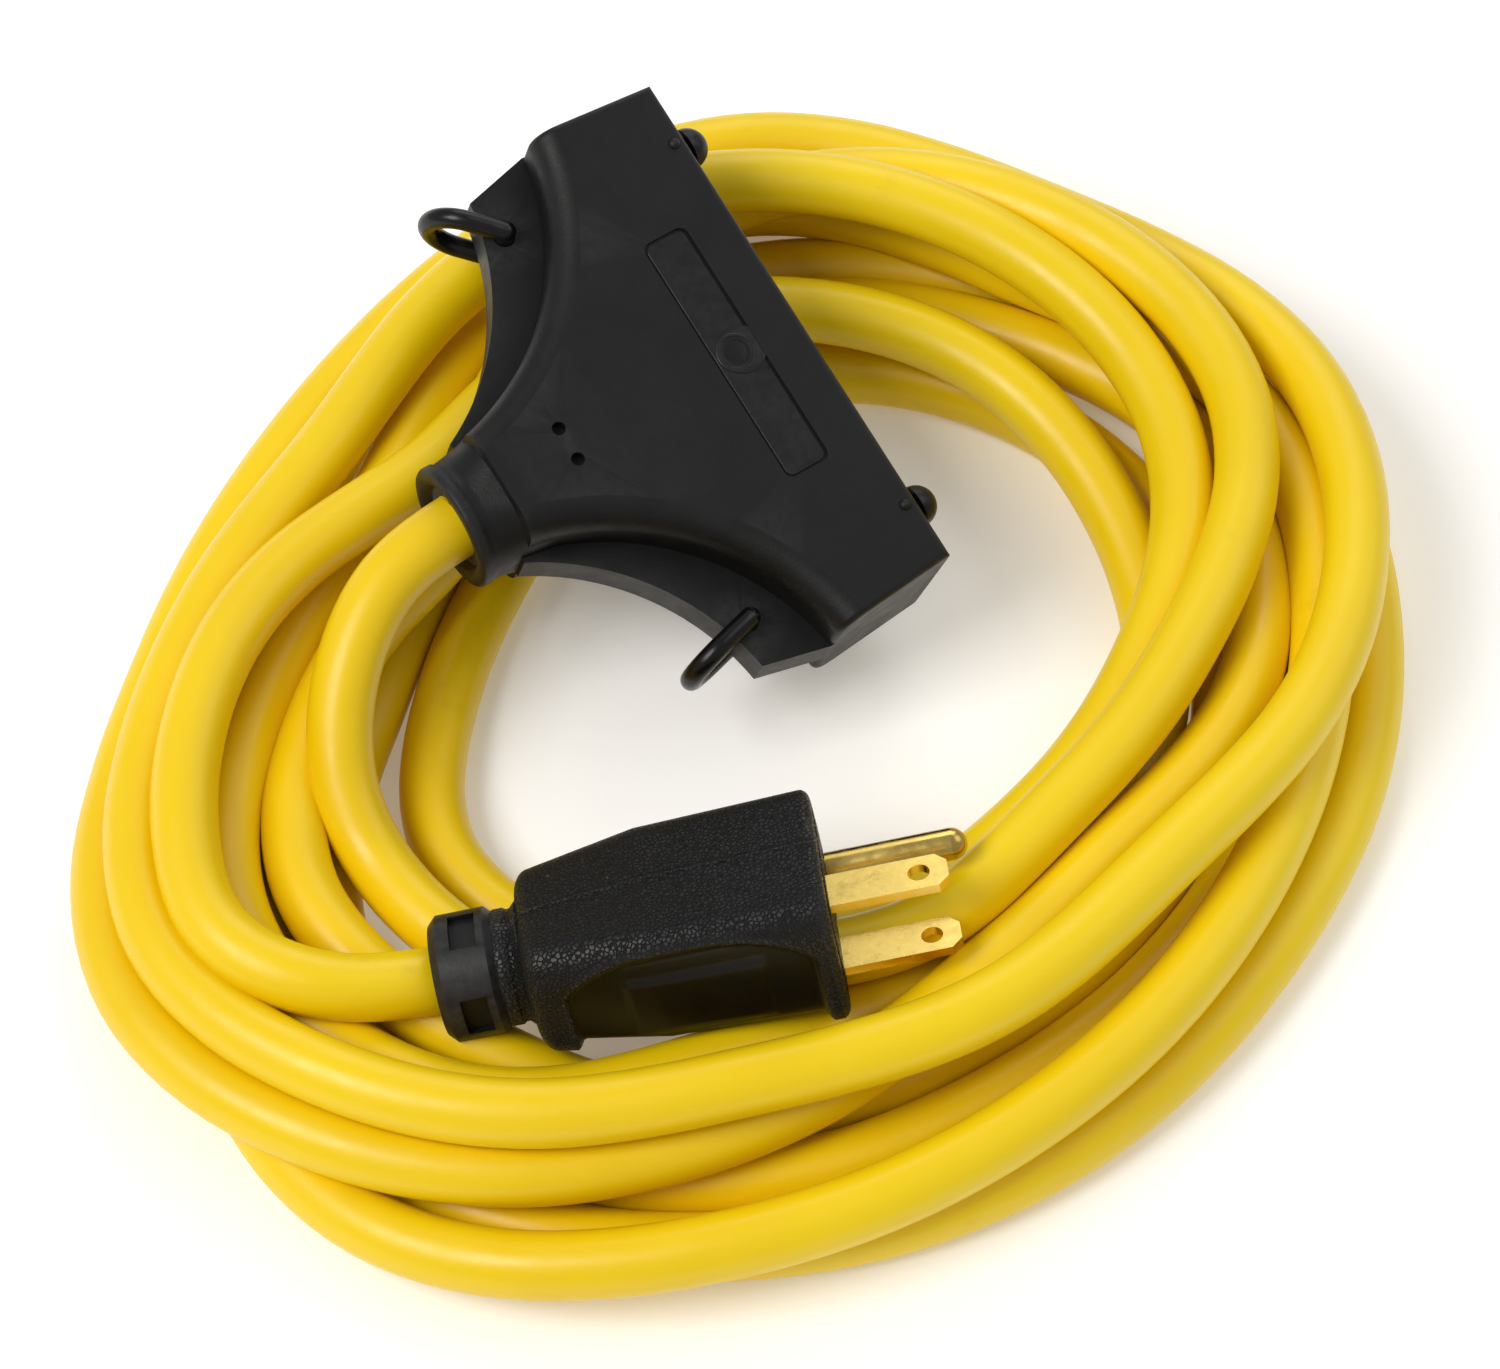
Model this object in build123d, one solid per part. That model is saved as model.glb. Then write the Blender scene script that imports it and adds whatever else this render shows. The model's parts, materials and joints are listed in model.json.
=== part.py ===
from build123d import *
import math
import os

# A heavy-duty extension cord laid down as a round coil: a three-outlet block rests on the coil, and the
# moulded plug lies inside it.  All sizes are millimetres.  +Z is up, the floor is Z = 0, and the origin is
# on the floor at the middle of the coil.

# ---------------------------------------------------------------- the cord
CORD_D = 10.0                      # jacket of a three-conductor 12 gauge cord
CORD_R = CORD_D / 2

# ---------------------------------------------------------------- the coil's envelope
COIL_TOP = 18.5                    # two layers of cord, nested
COIL_STEP = 10.5                   # top of the lower layer
COIL_INSET = 6.0                   # how far the upper layer stands in from the lower one, each side
OUTER_ROUND, INNER_ROUND = 60.0, 22.0   # rounding of the envelope's corners in plan
# Radii at 30 degree stations, counter-clockwise from +X.
COIL_OUTER = [104.0, 105.0, 104.0, 103.5, 101.0, 92.0, 99.0, 107.0, 107.0, 104.0, 101.0, 99.0]
COIL_INNER = [57.0, 63.0, 62.0, 59.0, 46.0, 41.0, 47.0, 67.0, 79.0, 69.0, 52.0, 50.0]

# ---------------------------------------------------------------- the outlet block, in its own frame
# X runs from the cord to the outlets, Y across, Z = 0 is the top face, and X = 0 the outlet face.
FACE_HALF = 42.6
END_HALF = 44.3
END_X = -20.5
BODY_H = 26.0
PARTING_Z = -BODY_H / 2
NECK_X = -59.0
NECK_R = 8.6
NECK_ROOT_X = -50.0
WAIST_X = -53.0
WAIST_HALF = 9.4
WALL = 2.6
FLANGE_HALF_T = 3.5
FLANGE_CORNER = (-31.3, 41.8)
FLANGE_MID = (-38.6, 23.6)
FLANGE_END = (-54.0, 10.6)
RAISED_MID = (-33.0, 20.3)
ROLL_OVER = 4.4                    # fillet along the raised body's hollow sides
SOFT_EDGE = 1.0

LABEL_X, LABEL_L, LABEL_W, LABEL_DEEP = -11.5, 42.0, 7.6, 0.5
BADGE_R = 3.8
MARK_X, MARK_Y, MARK_R, MARK_DEEP = -41.3, 2.7, 1.05, 2.0

OUTLET_PITCH = 26.0
OUTLETS = (-OUTLET_PITCH, 0.0, OUTLET_PITCH)
BLADE_GAP = 12.7                   # between the two blade slots
GROUND_RISE = 11.9                 # from the blades' line to the ground hole
BLADE_Z = -18.6
GROUND_Z = BLADE_Z + GROUND_RISE
SLOT_T = 1.9
HOT_SLOT, NEUTRAL_SLOT = 6.9, 8.2
GROUND_HOLE_R = 2.6
FACE_T = 3.0
FACE_CLEAR = 0.15

CARRIER_FRONT, CARRIER_BACK = -3.2, -19.0
CARRIER_HALF = 35.4
BUS_T = 0.8
CLIP_T = 0.6
CLIP_GAP = 1.4
CLIP_FRONT = -5.5
SLEEVE_R, SLEEVE_BORE = 3.4, 2.5

SCREW_AT = [(-12.0, 38.6), (-12.0, -38.6), (-29.5, 18.0), (-29.5, -18.0)]
BOSS_R, SCREW_R, SCREW_HEAD_R, SCREW_HEAD_H = 2.7, 1.2, 2.2, 1.6

PEG_Y, PEG_Z, PEG_STEM_R, PEG_HEAD_R = 32.7, -6.6, 1.9, 3.25
PEG_STEM_L = 2.0

LOOP_PIVOT = (-29.5, 34.8)
LOOP_ROD_R = 1.6
LOOP_HALF_H = 5.5                  # from the flange's middle to an arm's centre line
LOOP_REACH = 11.4
LOOP_HOLE_R = 1.7
LEFT_LOOP_SWING = 45.0             # how far each loop is swung out from straight back, as it lies
RIGHT_LOOP_SWING = 14.0

STUB_END = -37.0
GROMMET_R = 6.6
CLAMP_X = -41.0

# How the block lies: its outlet face's top edge, its heading and its roll about its own length.
BLOCK_AT = (8.2, 43.4, 46.0)
BLOCK_YAW, BLOCK_ROLL = 34.0, 19.0

# ---------------------------------------------------------------- the plug, in its own frame
# X runs out along the blades, X = 0 is the blade face, +Y is the ground pin's side.
PLUG_L = 44.5
PLUG_H_FRONT, PLUG_W_FRONT = 29.0, 25.0
PLUG_H_MID, PLUG_W_MID = 28.0, 24.0
PLUG_H_BACK, PLUG_W_BACK = 23.0, 20.0
PLUG_MID_X = -26.0
PLUG_CORNER = 6.0
COLLAR_BACK, COLLAR_FRONT = -57.5, -47.0
COLLAR_R = 9.3
COLLAR_NECK_R = 7.6
BLADE_T, BLADE_W, BLADE_L = 1.5, 6.35, 17.6
BLADE_HOLE_R, BLADE_HOLE_IN = 1.6, 4.2
PIN_R, PIN_L = 2.4, 21.0
PIN_ROOT_R, PIN_SHOULDER = 2.0, 0.3   # the pin is thinner inside the plug, from just proud of the face
BRIDGE_FRONT, BRIDGE_BACK = -3.5, -9.5
BLADE_ROOT = -15.0
PIN_SHIFT = 5.0                    # the blades sit this far to the grip side of the plug's axis
CAVITY_BACK, CAVITY_HALF_H, CAVITY_HALF_W = -37.5, 9.6, 8.2
JACKET_END = -36.6                 # where the jacket is stripped inside the plug
PLUG_AT = (12.3, -46.6, 27.0)
PLUG_YAW, PLUG_PITCH, PLUG_ROLL = 8.5, 8.1, -17.0

WIRE_R = 1.6                       # insulated 12 gauge conductor
CRIMP_R = 2.3


def placed_plane(at, yaw, pitch, roll):
    """A frame at a point: heading, then nose up, then roll about its own X."""
    cy, sy = math.cos(math.radians(yaw)), math.sin(math.radians(yaw))
    cp, sp = math.cos(math.radians(pitch)), math.sin(math.radians(pitch))
    cr, sr = math.cos(math.radians(roll)), math.sin(math.radians(roll))
    forward = Vector(cy * cp, sy * cp, sp)
    side = Vector(-sy, cy, 0)
    up = forward.cross(side)
    return Plane(origin=at, x_dir=forward, z_dir=up * cr - side * sr)


BLOCK = placed_plane(BLOCK_AT, BLOCK_YAW, 0.0, BLOCK_ROLL)
PLUG = placed_plane(PLUG_AT, PLUG_YAW, PLUG_PITCH, PLUG_ROLL)

parts = {}


def keep(name, shape, plane=None):
    """File a piece under its name, moved from its own frame into the cord's."""
    parts[name] = shape if plane is None else plane.location * shape


def box(x0, x1, y0, y1, z0, z1):
    """A plain block between two corners."""
    size = (x1 - x0, y1 - y0, z1 - z0)
    centre = ((x0 + x1) / 2, (y0 + y1) / 2, (z0 + z1) / 2)
    return Pos(*centre) * Box(*size)


def rod_x(x0, x1, radius, y=0.0, z=0.0):
    """A cylinder lying along X."""
    return Pos((x0 + x1) / 2, y, z) * Rot(0, 90, 0) * Cylinder(radius, x1 - x0)


def rod_z(z0, z1, radius, x=0.0, y=0.0):
    """A cylinder standing along Z."""
    return Pos(x, y, (z0 + z1) / 2) * Cylinder(radius, z1 - z0)


def route_tube(points, radius, name, arc_share=0.45):
    """A tube along straight runs, each corner an arc as large as its two runs allow."""
    corners = [Vector(*p) for p in points]
    radii = []
    for before, at, after in zip(corners, corners[1:], corners[2:]):
        turn = math.radians((at - before).get_angle(after - at))
        shorter = min((at - before).length, (after - at).length)
        radii.append(arc_share * shorter / math.tan(turn / 2))
    path = FilletPolyline(*points, radius=radii)
    start = Plane(origin=path @ 0, z_dir=path % 0)
    tube = sweep(start * Circle(radius), path=path)
    section = math.pi * radius**2 * path.length
    rounded = [round(r, 1) for r in radii]
    print(f"{name}: radii {rounded}, length {path.length:.1f}, volume/section {tube.volume / section:.4f}")
    return tube


# ================================================================ the coil and the two leads
def ring_outline(radii, grow, rounding):
    """A closed rounded outline through the station radii."""
    step = 360 / len(radii)
    corners = [
        (
            (r + grow) * math.cos(math.radians(i * step)),
            (r + grow) * math.sin(math.radians(i * step)),
        )
        for i, r in enumerate(radii)
    ]
    face = make_face(Polyline(*corners, close=True))
    return fillet(face.vertices(), rounding)


def coil_body():
    """The coil's outer shape: a broad lower layer and a narrower upper one."""
    lower = ring_outline(COIL_OUTER, 0, OUTER_ROUND)
    lower -= ring_outline(COIL_INNER, 0, INNER_ROUND)
    upper = ring_outline(COIL_OUTER, -COIL_INSET, OUTER_ROUND)
    upper -= ring_outline(COIL_INNER, COIL_INSET, INNER_ROUND)
    return extrude(lower, COIL_STEP) + Pos(0, 0, COIL_STEP) * extrude(upper, COIL_TOP - COIL_STEP)


block_exit = BLOCK.from_local_coords(Vector(NECK_X, 0, PARTING_Z))
block_back = -BLOCK.x_dir
BLOCK_LEAD = [
    tuple(block_exit),
    tuple(block_exit + block_back * 9.0),
    (-56.6, 1.9, 32.2),
    (-60.5, -6.4, 29.5),
    (-62.1, -15.5, 26.0),
    (-61.3, -24.7, 21.8),
    (-58.4, -33.5, 17.0),
    (-54.6, -42.4, 12.8),
]
plug_exit = PLUG.from_local_coords(Vector(COLLAR_BACK, 0, 0))
plug_back = -PLUG.x_dir
PLUG_LEAD = [
    (-81.5, -8.9, 19.0),
    (-83.0, -19.4, 22.2),
    (-82.6, -30.2, 24.2),
    (-79.7, -40.3, 24.2),
    (-73.4, -48.6, 22.4),
    (-64.2, -54.2, 20.0),
    tuple(plug_exit + plug_back * 9.5),
    tuple(plug_exit),
]


# ================================================================ the outlet block
def mirrored_outline(end_point, corner_points, arc_mid, arc_end, close_x):
    """Half the block's plan outline and its mirror image, as one face."""
    half = None
    for side in (1, -1):
        corners = [(x, y * side) for x, y in [(0, FACE_HALF), end_point] + corner_points]
        arc = [(x, y * side) for x, y in (arc_mid, arc_end)]
        lines = [
            Polyline((0, 0), *corners),
            ThreePointArc(corners[-1], *arc),
            Polyline(arc[-1], (close_x, 0), (0, 0)),
        ]
        face = make_face(Curve() + lines)
        half = face if half is None else half + face
    return half


def raised_face():
    return mirrored_outline((END_X, END_HALF), [], RAISED_MID, (WAIST_X, WAIST_HALF), WAIST_X)


def flange_face():
    return mirrored_outline((END_X, END_HALF), [FLANGE_CORNER], FLANGE_MID, FLANGE_END, FLANGE_END[0])


def hollow_side_edges(solid, z):
    """The raised body's two curved edges on the face at height z."""
    edges = solid.edges().filter_by(GeomType.CIRCLE)
    return [e for e in edges if abs(e.center().Z - z) < 0.01 and e.radius > 10]


def outer_half():
    """The upper half of the block's outside, solid: raised body, flange and half the neck."""
    body = Pos(0, 0, PARTING_Z) * extrude(raised_face(), -PARTING_Z)
    body = fillet(hollow_side_edges(body, 0), ROLL_OVER)
    front_and_ends = [
        e
        for e in body.edges().filter_by(GeomType.LINE)
        if abs(e.center().Z) < 0.01 and e.center().X > WAIST_X + 1
    ]
    body = fillet(front_and_ends, SOFT_EDGE)
    flange = Pos(0, 0, PARTING_Z) * extrude(flange_face(), FLANGE_HALF_T)
    neck = rod_x(NECK_X, NECK_ROOT_X, NECK_R, 0, PARTING_Z)
    neck = neck & box(NECK_X - 1, NECK_ROOT_X + 1, -20, 20, PARTING_Z, 0)
    return body + flange + neck


def cavity_half():
    """The space inside one half: walls left all round, open at the outlet face."""
    room = offset(raised_face(), -WALL)
    room = Pos(0, 0, PARTING_Z) * extrude(room, -PARTING_Z - WALL)
    mouth = box(-WALL - 1, 1, -FACE_HALF + WALL, FACE_HALF - WALL, PARTING_Z, -WALL)
    neck_hole = rod_x(NECK_X - 1, WAIST_X + WALL + 1, GROMMET_R, 0, PARTING_Z)
    return room + mouth + neck_hole


def boss_half():
    """Screw bosses from the shell's wall to the parting plane."""
    return [rod_z(PARTING_Z, -WALL / 2, BOSS_R, x, y) for x, y in SCREW_AT]


def shell_half():
    """One half shell, before the cuts that only one of the two has."""
    shell = outer_half() - cavity_half()
    for boss in boss_half():
        shell += boss
    for side in (1, -1):
        shell -= rod_z(PARTING_Z - 1, 0, LOOP_HOLE_R, LOOP_PIVOT[0], LOOP_PIVOT[1] * side)
    return shell


def housing_top():
    shell = shell_half()
    for x, y in SCREW_AT:
        shell -= rod_z(PARTING_Z - 1, -WALL - 1.0, SCREW_R, x, y)
    recess = Pos(LABEL_X, 0, -LABEL_DEEP) * extrude(RectangleRounded(LABEL_W, LABEL_L, 1.5), 1.0)
    shell -= recess
    shell += rod_z(-LABEL_DEEP - 0.2, -0.1, BADGE_R, LABEL_X + 1.0, 0)
    for side in (1, -1):
        shell -= rod_z(-MARK_DEEP, 1, MARK_R, MARK_X, MARK_Y * side)
        shell += Pos(-1.9, PEG_Y * side, -0.3) * Sphere(1.0)
    return shell


def housing_bottom():
    shell = mirror(shell_half(), Plane.XY.offset(PARTING_Z))
    for x, y in SCREW_AT:
        shell -= rod_z(-BODY_H - 1, PARTING_Z + 1, SCREW_R + 0.25, x, y)
        shell -= rod_z(-BODY_H - 1, -BODY_H + SCREW_HEAD_H + 0.4, SCREW_HEAD_R + 0.2, x, y)
    return shell


def outlet_face():
    """The moulded plate with the slots and ground holes of the three outlets."""
    half_y, low, high = FACE_HALF - WALL - FACE_CLEAR, -BODY_H + WALL + FACE_CLEAR, -WALL - FACE_CLEAR
    plate = box(-FACE_T, 0, -half_y, half_y, low, high)
    for y in OUTLETS:
        plate -= box(-FACE_T - 1, 1, y + BLADE_GAP / 2 - SLOT_T / 2, y + BLADE_GAP / 2 + SLOT_T / 2,
                     BLADE_Z - HOT_SLOT / 2, BLADE_Z + HOT_SLOT / 2)
        plate -= box(-FACE_T - 1, 1, y - BLADE_GAP / 2 - SLOT_T / 2, y - BLADE_GAP / 2 + SLOT_T / 2,
                     BLADE_Z - NEUTRAL_SLOT / 2, BLADE_Z + NEUTRAL_SLOT / 2)
        plate -= rod_x(-FACE_T - 1, 1, GROUND_HOLE_R, y, GROUND_Z)
    for side in (1, -1):
        plate -= rod_x(-FACE_T - 1, 1, PEG_STEM_R, PEG_Y * side, PEG_Z)
    return plate


def contact_carrier():
    """The insulating block behind the outlet face, with a channel for each contact."""
    low, high = -BODY_H + WALL + 0.3, -WALL - 0.3
    carrier = box(CARRIER_BACK, CARRIER_FRONT, -CARRIER_HALF, CARRIER_HALF, low, high)
    for y in OUTLETS:
        for side in (1, -1):
            mid = y + side * BLADE_GAP / 2
            carrier -= box(CARRIER_BACK - 1, CARRIER_FRONT + 1, mid - 1.9, mid + 1.9, low + 0.2, -13.2)
        carrier -= rod_x(CARRIER_BACK - 1, CARRIER_FRONT + 1, SLEEVE_R + 0.2, y, GROUND_Z)
    for side in (1, -1):
        carrier -= rod_x(-8, CARRIER_FRONT + 1, PEG_STEM_R + 0.9, PEG_Y * side, PEG_Z)
    return carrier


def blade_bus(side, strip_low, strip_high, clip_low, clip_high):
    """A brass strip with a two-leaf contact clip at each outlet."""
    back = CARRIER_BACK - 0.3
    reach = OUTLET_PITCH + BLADE_GAP / 2 + 1.5
    bus = box(back - BUS_T, back, -reach, reach, strip_low, strip_high)
    for y in OUTLETS:
        mid = y + side * BLADE_GAP / 2
        for leaf in (1, -1):
            inner = mid + leaf * CLIP_GAP / 2
            outer = inner + leaf * CLIP_T
            bus += box(back - BUS_T, CLIP_FRONT, min(inner, outer), max(inner, outer), clip_low, clip_high)
    return bus


def ground_bus():
    """A brass strip with a round contact sleeve at each outlet."""
    back = CARRIER_BACK - 0.3
    reach = OUTLET_PITCH + 4.0
    bus = box(back - BUS_T, back, -reach, reach, GROUND_Z - 2.0, GROUND_Z + 2.0)
    for y in OUTLETS:
        bus += rod_x(back - BUS_T, CLIP_FRONT, SLEEVE_R, y, GROUND_Z)
        bus -= rod_x(back + 0.1, CLIP_FRONT + 1, SLEEVE_BORE, y, GROUND_Z)
    return bus


def joined(pieces):
    """Several separate solids kept together as one node."""
    return Compound(children=[p.solid() for p in pieces])


def screw(x, y):
    """A pan-head screw driven up into the top shell."""
    head_low = -BODY_H + 0.4
    head = rod_z(head_low, head_low + SCREW_HEAD_H, SCREW_HEAD_R, x, y)
    shank = rod_z(head_low + 0.5, -WALL - 2.0, SCREW_R, x, y)
    slot = box(x - 1.6, x + 1.6, y - 0.3, y + 0.3, head_low - 1, head_low + 0.7)
    cross_slot = box(x - 0.3, x + 0.3, y - 1.6, y + 1.6, head_low - 1, head_low + 0.7)
    return head + shank - slot - cross_slot


def peg(side):
    """A mushroom-headed peg standing out of the outlet face."""
    y = PEG_Y * side
    stem = rod_x(-FACE_T - 0.1, PEG_STEM_L + 0.5, PEG_STEM_R, y, PEG_Z)
    dome = Pos(PEG_STEM_L - 0.3, y, PEG_Z) * Sphere(PEG_HEAD_R)
    head = dome & box(PEG_STEM_L - 0.3, PEG_STEM_L + 5, y - 5, y + 5, PEG_Z - 5, PEG_Z + 5)
    return stem + head


def hang_loop():
    """A closed loop whose inner leg stands on the Z axis and which reaches out along +X."""
    bow_x = LOOP_REACH - LOOP_HALF_H
    leg = rod_z(-LOOP_HALF_H, LOOP_HALF_H, LOOP_ROD_R)
    arms = [rod_x(0, bow_x, LOOP_ROD_R, 0, z) for z in (LOOP_HALF_H, -LOOP_HALF_H)]
    knees = [Pos(0, 0, z) * Sphere(LOOP_ROD_R) for z in (LOOP_HALF_H, -LOOP_HALF_H)]
    bow = Pos(bow_x, 0, 0) * Rot(90, 0, 0) * Torus(LOOP_HALF_H, LOOP_ROD_R)
    bow = bow & box(bow_x, LOOP_REACH + 5, -5, 5, -10, 10)
    loop = leg + bow
    for piece in arms + knees:
        loop += piece
    return loop


def placed_loop(side, swing):
    """A hang loop in the flange's hole, swung out from straight back."""
    x, y = LOOP_PIVOT
    return Pos(x, y * side, PARTING_Z) * Rot(0, 0, 180 - side * swing) * hang_loop()


def grommet():
    """The rubber sleeve in the neck, round the cord."""
    sleeve = rod_x(NECK_X, WAIST_X + 4, GROMMET_R - 0.05, 0, PARTING_Z)
    return sleeve - rod_x(NECK_X - 1, WAIST_X + 5, CORD_R + 0.05, 0, PARTING_Z)


def cord_clamp():
    """The saddle that holds the jacket down inside the housing."""
    z0 = PARTING_Z + CORD_R - 0.6
    bar = box(CLAMP_X - 3, CLAMP_X + 3, -8.6, 8.6, z0, z0 + 2.4)
    bar -= rod_x(CLAMP_X - 4, CLAMP_X + 4, CORD_R + 0.05, 0, PARTING_Z)
    for side in (1, -1):
        bar -= rod_z(z0 - 1, z0 + 5, 1.15, CLAMP_X, 7.0 * side)
    return bar


def clamp_screw(side):
    z0 = PARTING_Z + CORD_R + 1.9
    return rod_z(z0, z0 + 1.2, 1.9, CLAMP_X, 7.0 * side) + rod_z(z0 - 7.0, z0 + 0.2, 1.05, CLAMP_X, 7.0 * side)


def block_wire(name, y, z, end_y, end_z):
    """A conductor from the stripped jacket to its bus strip."""
    end_x = CARRIER_BACK - 0.3 - BUS_T
    points = [
        (STUB_END, y, z),
        (STUB_END + 5.5, (3 * y + end_y) / 4, (4 * z + end_z) / 5),
        (end_x - 5.5, (y + 3 * end_y) / 4, (z + 4 * end_z) / 5),
        (end_x, end_y, end_z),
    ]
    return route_tube(points, WIRE_R, name)


# ================================================================ the plug
def plug_section(x, height, width):
    """The plug's rounded cross-section at X, height along Y and width along Z."""
    frame = Plane(origin=(x, 0, 0), x_dir=(0, 1, 0), z_dir=(1, 0, 0))
    return frame * RectangleRounded(height, width, PLUG_CORNER)


def plug_body():
    """The moulded body, with its hollow, the flat grip panel and the holes for blades and pin."""
    front = loft([plug_section(PLUG_MID_X, PLUG_H_MID, PLUG_W_MID), plug_section(0, PLUG_H_FRONT, PLUG_W_FRONT)])
    back = loft([plug_section(-PLUG_L, PLUG_H_BACK, PLUG_W_BACK), plug_section(PLUG_MID_X, PLUG_H_MID, PLUG_W_MID)])
    body = front + back
    body = fillet(body.edges().filter_by(lambda e: abs(e.center().X) < 0.01), 1.2)
    body = fillet(body.edges().filter_by(lambda e: abs(e.center().X + PLUG_L) < 0.01), 1.6)
    body += rod_x(COLLAR_FRONT - 1, -PLUG_L + 2, COLLAR_NECK_R)
    body -= box(CAVITY_BACK, BRIDGE_FRONT, -CAVITY_HALF_H, CAVITY_HALF_H, -CAVITY_HALF_W, CAVITY_HALF_W)
    body -= rod_x(COLLAR_FRONT - 2, CAVITY_BACK + 1, CORD_R + 0.05)
    for side in (1, -1):
        z = side * BLADE_GAP / 2
        body -= box(BRIDGE_FRONT - 1, 1, -PIN_SHIFT - BLADE_W / 2, -PIN_SHIFT + BLADE_W / 2,
                    z - BLADE_T / 2, z + BLADE_T / 2)
    body -= rod_x(BRIDGE_FRONT - 1, 1, PIN_ROOT_R, GROUND_RISE - PIN_SHIFT)
    return body


def blade(side):
    """A flat brass blade with its hole and clipped tip corners."""
    z = side * BLADE_GAP / 2
    profile = Plane(origin=(0, 0, z - BLADE_T / 2)) * make_face(
        Polyline(
            (BLADE_ROOT, -BLADE_W / 2),
            (BLADE_L - 1.6, -BLADE_W / 2),
            (BLADE_L, -BLADE_W / 2 + 1.6),
            (BLADE_L, BLADE_W / 2 - 1.6),
            (BLADE_L - 1.6, BLADE_W / 2),
            (BLADE_ROOT, BLADE_W / 2),
            close=True,
        )
    )
    solid = extrude(profile, BLADE_T)
    solid -= rod_z(z - 5, z + 5, BLADE_HOLE_R, BLADE_L - BLADE_HOLE_IN, 0)
    return Pos(0, -PIN_SHIFT, 0) * solid


def ground_pin():
    """The round ground pin with its domed tip."""
    y = GROUND_RISE - PIN_SHIFT
    pin = rod_x(PIN_SHOULDER, PIN_L - PIN_R, PIN_R, y) + Pos(PIN_L - PIN_R, y, 0) * Sphere(PIN_R)
    return pin + rod_x(BLADE_ROOT, PIN_SHOULDER + 0.1, PIN_ROOT_R, y)


def plug_bridge():
    """The rigid insert that holds the blades and the pin at their spacing."""
    half_h, half_w = CAVITY_HALF_H - 0.1, CAVITY_HALF_W - 0.1
    bridge = box(BRIDGE_BACK, BRIDGE_FRONT - 0.1, -half_h, half_h, -half_w, half_w)
    for side in (1, -1):
        z = side * BLADE_GAP / 2
        bridge -= box(BRIDGE_BACK - 1, BRIDGE_FRONT + 1, -PIN_SHIFT - BLADE_W / 2, -PIN_SHIFT + BLADE_W / 2,
                      z - BLADE_T / 2, z + BLADE_T / 2)
    bridge -= rod_x(BRIDGE_BACK - 1, BRIDGE_FRONT + 1, PIN_ROOT_R, GROUND_RISE - PIN_SHIFT)
    return bridge


def plug_collar():
    """The ribbed strain relief behind the body, with windows through its rings."""
    collar = rod_x(COLLAR_BACK, COLLAR_FRONT - 1.1, COLLAR_R)
    collar = chamfer(collar.edges(), 1.2)
    collar -= rod_x(COLLAR_BACK - 1, COLLAR_FRONT + 1, CORD_R + 0.05)
    for turn in range(0, 360, 90):
        window = box(COLLAR_BACK + 3.2, COLLAR_FRONT - 3.4, -3.4, 3.4, COLLAR_R - 1.6, COLLAR_R + 1)
        collar -= Rot(turn, 0, 0) * window
    return collar


def plug_wire(name, end_y, end_z, start_y, start_z):
    """A conductor from the jacket's end inside the plug to its blade or pin."""
    points = [
        (JACKET_END, start_y, start_z),
        (JACKET_END + 5.0, start_y, start_z * 1.02 + 0.01),
        (BLADE_ROOT - 6.0, end_y * 0.9, end_z * 0.9),
        (BLADE_ROOT, end_y, end_z),
    ]
    return route_tube(points, WIRE_R, name)


# ================================================================ everything, piece by piece
keep("coil", coil_body())
keep("block_lead", route_tube(BLOCK_LEAD, CORD_R, "block_lead"))
keep("plug_lead", route_tube(PLUG_LEAD, CORD_R, "plug_lead"))

keep("housing_top", housing_top(), BLOCK)
keep("housing_bottom", housing_bottom(), BLOCK)
keep("outlet_face", outlet_face(), BLOCK)
keep("contact_carrier", contact_carrier(), BLOCK)
keep("hot_bus", blade_bus(1, -15.4, -13.4, -21.0, -13.4), BLOCK)
keep("neutral_bus", blade_bus(-1, -23.0, -21.4, -22.7, -15.6), BLOCK)
keep("ground_bus", ground_bus(), BLOCK)
keep("housing_screws", joined([screw(x, y) for x, y in SCREW_AT]), BLOCK)
keep("cover_pegs", joined([peg(1), peg(-1)]), BLOCK)
keep("hang_loop_left", placed_loop(1, LEFT_LOOP_SWING), BLOCK)
keep("hang_loop_right", placed_loop(-1, RIGHT_LOOP_SWING), BLOCK)
keep("neck_grommet", grommet(), BLOCK)
keep("jacket_end", rod_x(NECK_X, STUB_END, CORD_R, 0, PARTING_Z), BLOCK)
keep("cord_clamp", cord_clamp(), BLOCK)
keep("clamp_screws", joined([clamp_screw(1), clamp_screw(-1)]), BLOCK)
keep("hot_wire", block_wire("hot_wire", 1.9, PARTING_Z - 1.2, 5.0, -14.4), BLOCK)
keep("neutral_wire", block_wire("neutral_wire", -1.9, PARTING_Z - 1.2, -5.0, -22.0), BLOCK)
keep("ground_wire", block_wire("ground_wire", 0.0, PARTING_Z + 2.4, 1.0, GROUND_Z), BLOCK)

keep("plug_body", plug_body(), PLUG)
keep("plug_bridge", plug_bridge(), PLUG)
keep("hot_blade", blade(1), PLUG)
keep("neutral_blade", blade(-1), PLUG)
keep("ground_pin", ground_pin(), PLUG)
keep("plug_collar", plug_collar(), PLUG)
keep("plug_jacket_end", rod_x(COLLAR_BACK, JACKET_END, CORD_R), PLUG)
keep("plug_hot_wire", plug_wire("plug_hot_wire", -PIN_SHIFT, BLADE_GAP / 2, -1.2, 1.9), PLUG)
keep("plug_neutral_wire", plug_wire("plug_neutral_wire", -PIN_SHIFT, -BLADE_GAP / 2, -1.2, -1.9), PLUG)
keep("plug_ground_wire", plug_wire("plug_ground_wire", GROUND_RISE - PIN_SHIFT, 0.0, 2.2, 0.0), PLUG)

os.makedirs("parts", exist_ok=True)
for name, shape in parts.items():
    export_step(shape, f"parts/{name}.step")
print(len(parts), "nodes")
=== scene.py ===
import bmesh
import bpy
import json
import math
import numpy as np
from mathutils import Matrix, Vector


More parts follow.
